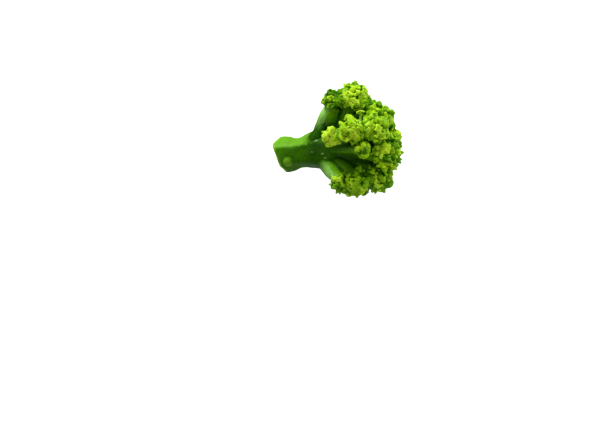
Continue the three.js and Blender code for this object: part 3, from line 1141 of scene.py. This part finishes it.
def bud_finish():
    """Waxy buds: yellow-green where young, on pale twigs; deep green low down, in creases and deep in the
    florets as painted shade, with a painted highlight on ridges.
    """
    finish = Finish("waxy_buds", BUD_SKIN)
    speckle = finish.math("SUBTRACT", finish.noise(scale=380, detail=2), 0.5)
    speckle = finish.math("MULTIPLY", speckle, 0.7)
    tone = finish.math("ADD", finish.attribute("tone"), speckle)
    young = finish.ramp(tone, BUD_GREENS)
    skin = finish.layer(finish.tinted(young, BUD_FOOT_SHADE), "tip", (0.25, 0.8), young)
    skin = finish.layer(skin, "ridge", (0.58, 0.85), finish.tinted(young, BUD_RIDGE_HIGHLIGHT))
    skin = finish.layer(skin, "ridge", (0.46, 0.2), finish.tinted(young, BUD_CREASE_SHADE))
    skin = finish.layer(skin, "stem", 1.0, finish.mix(tone, TWIG_GREEN, TWIG_PALE))
    finish.put("Base Color", finish.layer(skin, "deep", 0.72, BUD_DEEP_SHADE))
    finish.bump(finish.grains(scale=1700), strength=0.45, distance=0.0002)
    return finish.material


STALK_SKIN = {
    "Roughness": 0.45, "Specular IOR Level": 0.08, "Specular Tint": (0.6, 0.9, 0.15),
    "Coat Roughness": 0.08, "Subsurface Weight": 0.25, "Subsurface Radius": (0.5, 1.0, 0.15),
    "Subsurface Scale": 0.0015,
}
STALK_GREENS = [
    (0.25, (0.022, 0.105, 0.0003)), (0.5, (0.038, 0.155, 0.0004)), (0.75, (0.07, 0.225, 0.001)),
]
BRANCH_GREENS = [
    (0.25, (0.085, 0.27, 0.001)), (0.75, (0.165, 0.42, 0.005)),
]
FLESH = [
    (0.1, (0.18, 0.44, 0.02)), (0.2, (0.42, 0.64, 0.13)), (0.3, (0.28, 0.54, 0.06)),
    (0.42, (0.48, 0.68, 0.19)), (0.8, (0.52, 0.7, 0.24)),
]
# What lies over the greens, from the lowest to the highest: its mark, how much of that or between which
# values of it, and its colour.
STALK_LAYERS = [
    # Painted shade where the stalk forks under the crown.
    ("inner", 0.85, (0.014, 0.076, 0.0002)),
    # The leaf's base is its own dark green, deepened to near black by painted shade.
    ("leaf", 1.0, (0.012, 0.07, 0.0002)),
    # Painted highlight along the ridges, then painted shade in the hollows.
    ("ridge", (0.66, 0.98), (0.26, 0.52, 0.04)),
    ("ridge", (0.45, 0.2), (0.024, 0.115, 0.0005)),
    # Painted light on the flat that faces the key light.
    ("pale", 0.75, (0.135, 0.37, 0.01)),
    # Painted light on the flanks of the outer branches.
    ("lit_flank", 1.0, (0.24, 0.5, 0.1)),
    ("scar", 1.0, (0.16, 0.36, 0.015)),
    ("cut", 0.8, (0.26, 0.54, 0.035)),
]
# A paler green on the water beads: a painted sheen for the glint of water.
WET_SHEEN_GREEN = (0.3, 0.52, 0.12)


def stalk_finish():
    """Smooth wet skin with faint lengthwise fibres, paler where it was cut, with a painted highlight along
    its ridges and painted shade in its hollows.
    """
    finish = Finish("wet_stalk", STALK_SKIN)
    fibres = finish.noise(scale=500, detail=4, stretch=(1, 1, 0.06), turn=(0, -LAID_OVER, 0))
    clouds = finish.noise(scale=110, detail=3)
    grain = finish.math("ADD", finish.math("MULTIPLY", fibres, 0.5), finish.math("MULTIPLY", clouds, 0.5))
    skin = finish.ramp(grain, STALK_GREENS)
    skin = finish.layer(skin, "high", 1.0, finish.ramp(grain, BRANCH_GREENS))
    for row in STALK_LAYERS:
        skin = finish.layer(skin, *row)
    rings = finish.math("ADD", finish.attribute("pith"), finish.math("MULTIPLY", clouds, 0.16))
    skin = finish.layer(skin, "pith", (0.02, 0.1), finish.ramp(rings, FLESH))
    finish.put("Base Color", finish.layer(skin, "wet", 0.4, WET_SHEEN_GREEN))
    patches = finish.step(finish.noise(scale=150, detail=2), 0.5, 0.62)
    patches = finish.math("MULTIPLY", patches, 0.22)
    coat = finish.math("ADD", patches, 0.02)
    finish.put("Coat Weight", finish.math("MAXIMUM", coat, finish.attribute("wet")))
    relief = finish.math("ADD", fibres, finish.math("MULTIPLY", clouds, 2.0))
    finish.bump(relief, strength=0.3, distance=0.0004)
    return finish.material


SURFACE_SKIN = {
    "Base Color": (0.9, 0.9, 0.9), "Roughness": 0.6, "Emission Color": (1, 1, 1),
    "Emission Strength": 0.85,
}


# ---- the whole head ----
def lay_down(piece, node, material):
    """Takes a finished piece from the way it grows to the way it lies, in its mesh."""
    piece.data.materials.append(material)
    piece.data.transform(LAYING)
    for vertex in piece.data.vertices:
        vertex.co.z = max(0.0, vertex.co.z)
    piece.data.update()
    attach(piece, "root")
    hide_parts(node)


lay_down(grow_stalk(), "stalk", stalk_finish())
waxy_buds = bud_finish()
for i, stand in enumerate(stands):
    lay_down(grow_floret(stand, SEED + i), "floret_" + stand.name, waxy_buds)
for pattern in patterns:
    bpy.data.objects.remove(pattern)


# ---- the surface, the lights and the camera, in metres ----
LIGHT_AIM = Vector((0, 0, 0.02))
# Name, place, width and power.
LIGHTS = [
    ("key", (-0.25, 0.45, 0.25), 0.24, 4.4),
    ("side", (0.48, 0.22, 0.12), 0.2, 2.1),
    ("fill", (0.05, -0.45, 0.30), 0.3, 0.6),
    ("sparkle", (0.05, 0.40, 0.42), 0.03, 0.3),
]
VIEW_HEIGHT = radians(75)  # over the horizon
VIEW_DISTANCE = 0.6
VIEW_LEFT = 0.0275  # from the crown's middle to the camera's aim
VIEW_DOWN = 0.035


def looking(name, data, place, line):
    """A light or a camera in its place, looking along a line."""
    piece = linked(name, data)
    piece.location = place
    piece.rotation_euler = line.to_track_quat("-Z", "Y").to_euler()
    return piece


surface = primitive("plane", "surface", size=6)
surface.data.materials.append(Finish("pale_surface", SURFACE_SKIN).material)
surface.visible_diffuse = False
surface.visible_glossy = False

for name, place, width, power in LIGHTS:
    light = bpy.data.lights.new(name, "AREA")
    light.shape = "DISK"
    light.size = width
    light.energy = power
    looking(name, light, place, LIGHT_AIM - Vector(place))

world = bpy.data.worlds.new("studio")
world.use_nodes = True
sky = world.node_tree.nodes["Background"].inputs
sky["Color"].default_value = (1, 1, 1, 1)
sky["Strength"].default_value = 0.36
bpy.context.scene.world = world

up = Vector((0, sin(VIEW_HEIGHT), cos(VIEW_HEIGHT)))
toward = Vector((0, -cos(VIEW_HEIGHT), sin(VIEW_HEIGHT)))
aim = CROWN_PLACE * MM + Vector((-VIEW_LEFT, 0, 0)) - up * VIEW_DOWN
lens = bpy.data.cameras.new("camera")
lens.lens = 72
lens.sensor_width = 36
lens.clip_start = 0.01
bpy.context.scene.camera = looking("camera", lens, aim + toward * VIEW_DISTANCE, -toward)
bpy.context.scene.view_settings.view_transform = "Standard"
